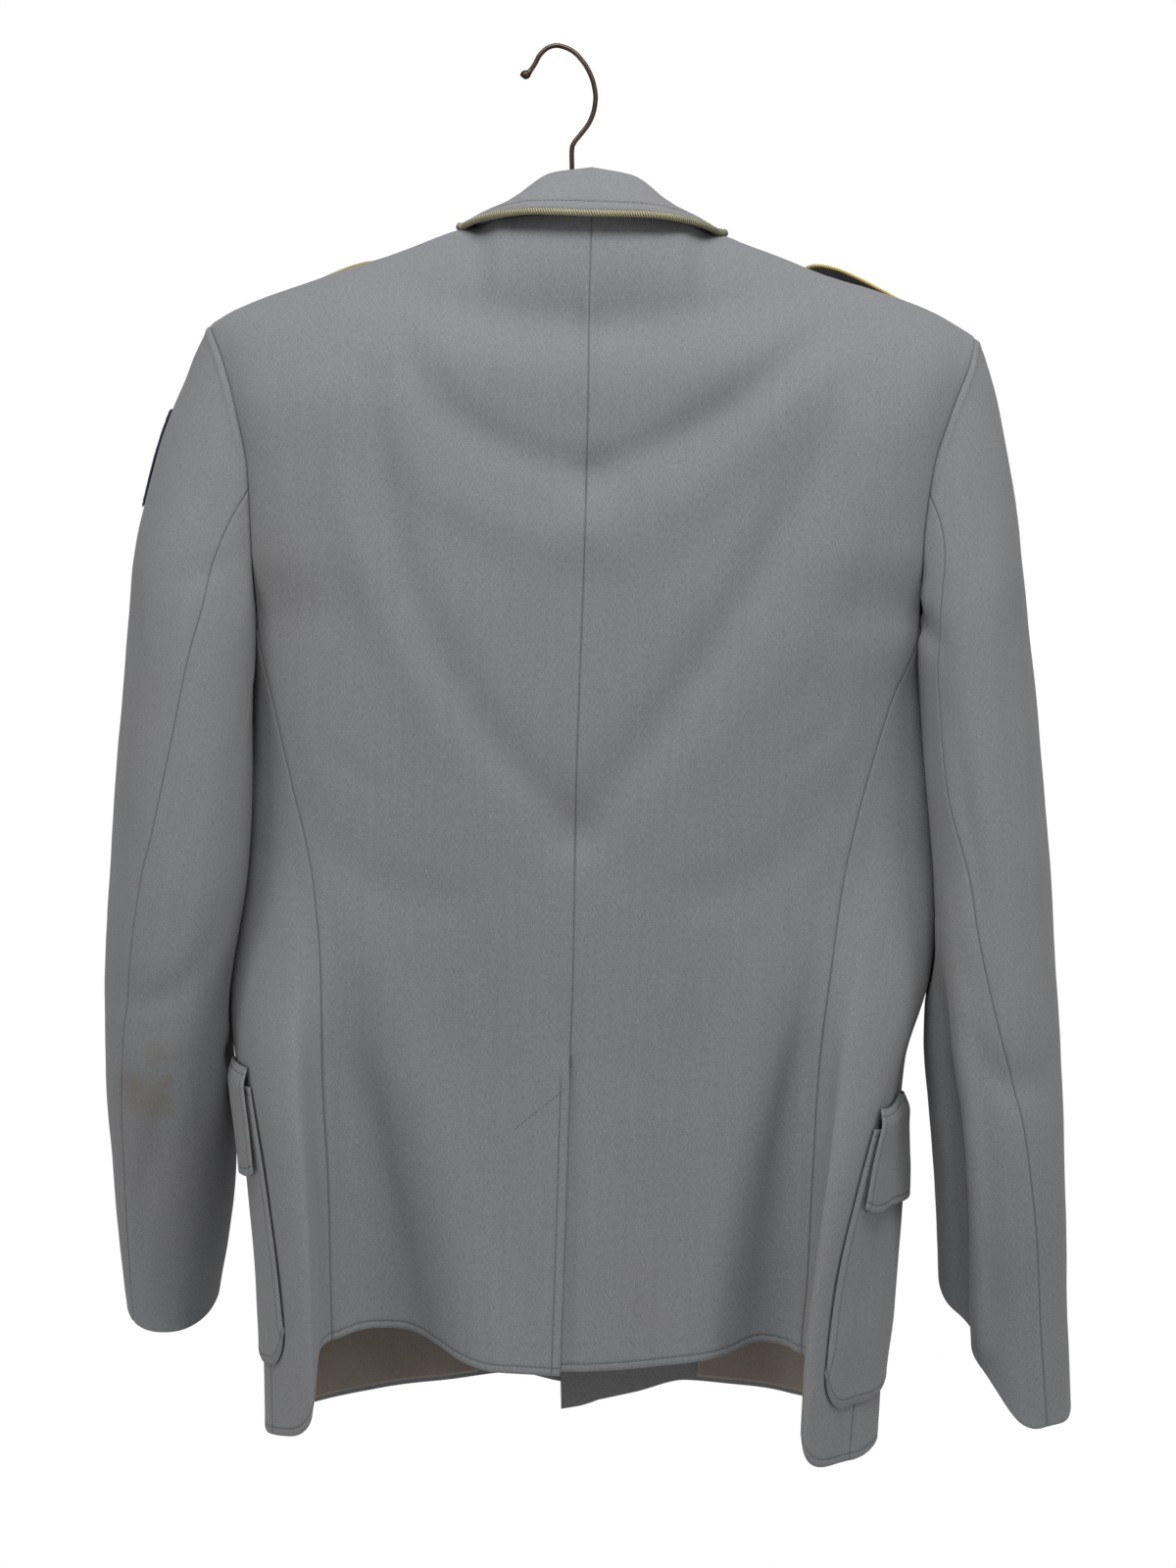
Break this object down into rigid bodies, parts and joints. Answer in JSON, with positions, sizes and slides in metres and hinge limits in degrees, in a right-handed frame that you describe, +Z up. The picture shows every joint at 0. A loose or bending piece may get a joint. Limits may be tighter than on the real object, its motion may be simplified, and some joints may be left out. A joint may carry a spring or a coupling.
{
  "type": "service jacket on hanger",
  "caption": "Single-breasted grey service jacket with patch pockets, shoulder straps, corded collar and centre back vent, hung on a plain wooden hanger with a wire hook.",
  "frame": {"origin": "where the hanger's hook rests on a rail: the lower side of the wire at the top of the hook's bow", "axes": "+X to the picture's right, which is the wearer's right; +Y away from the camera, towards the jacket's front; +Z up. The jacket is seen from the back."},
  "size_m": [0.6031, 0.2342, 0.8688],
  "materials": {
    "wool": "fine worsted twill, melange mid grey, matte with a slight nap",
    "lining": "smooth brown rayon lining, low sheen",
    "felt": "dark undercollar felt, matte",
    "cord": "twisted cord in pale gold with black strands, slight sheen",
    "strap_cloth": "grey cloth over a stiff board, matte",
    "piping": "golden yellow corded piping, matte",
    "patch_cloth": "dark navy badge cloth with a stitched edge, plain",
    "button_metal": "plain matt silver domed button",
    "hanger_wood": "varnished beech, satin",
    "hook_metal": "dark bronzed steel wire, worn"
  },
  "bodies": {
    "root": {"back_left": "wool", "back_right": "wool", "collar": "wool", "collar_cord": "cord", "flap_left": "wool", "flap_right": "wool", "front_button_1": "button_metal", "front_button_2": "button_metal", "front_button_3": "button_metal", "front_button_4": "button_metal", "front_left": "wool", "front_right": "wool", "hanger_bar": "hanger_wood", "hanger_hook": "hook_metal", "lapel_left": "wool", "lapel_right": "wool", "lining_left": "lining", "lining_right": "lining", "piping_left": "piping", "piping_right": "piping", "pocket_left": "wool", "pocket_right": "wool", "side_left": "wool", "side_right": "wool", "sleeve_left_top": "wool", "sleeve_left_under": "wool", "sleeve_patch": "patch_cloth", "sleeve_right_top": "wool", "sleeve_right_under": "wool", "strap_button_left": "button_metal", "strap_button_right": "button_metal", "strap_left": "strap_cloth", "strap_right": "strap_cloth", "undercollar": "felt"}
  },
  "joints": []
}
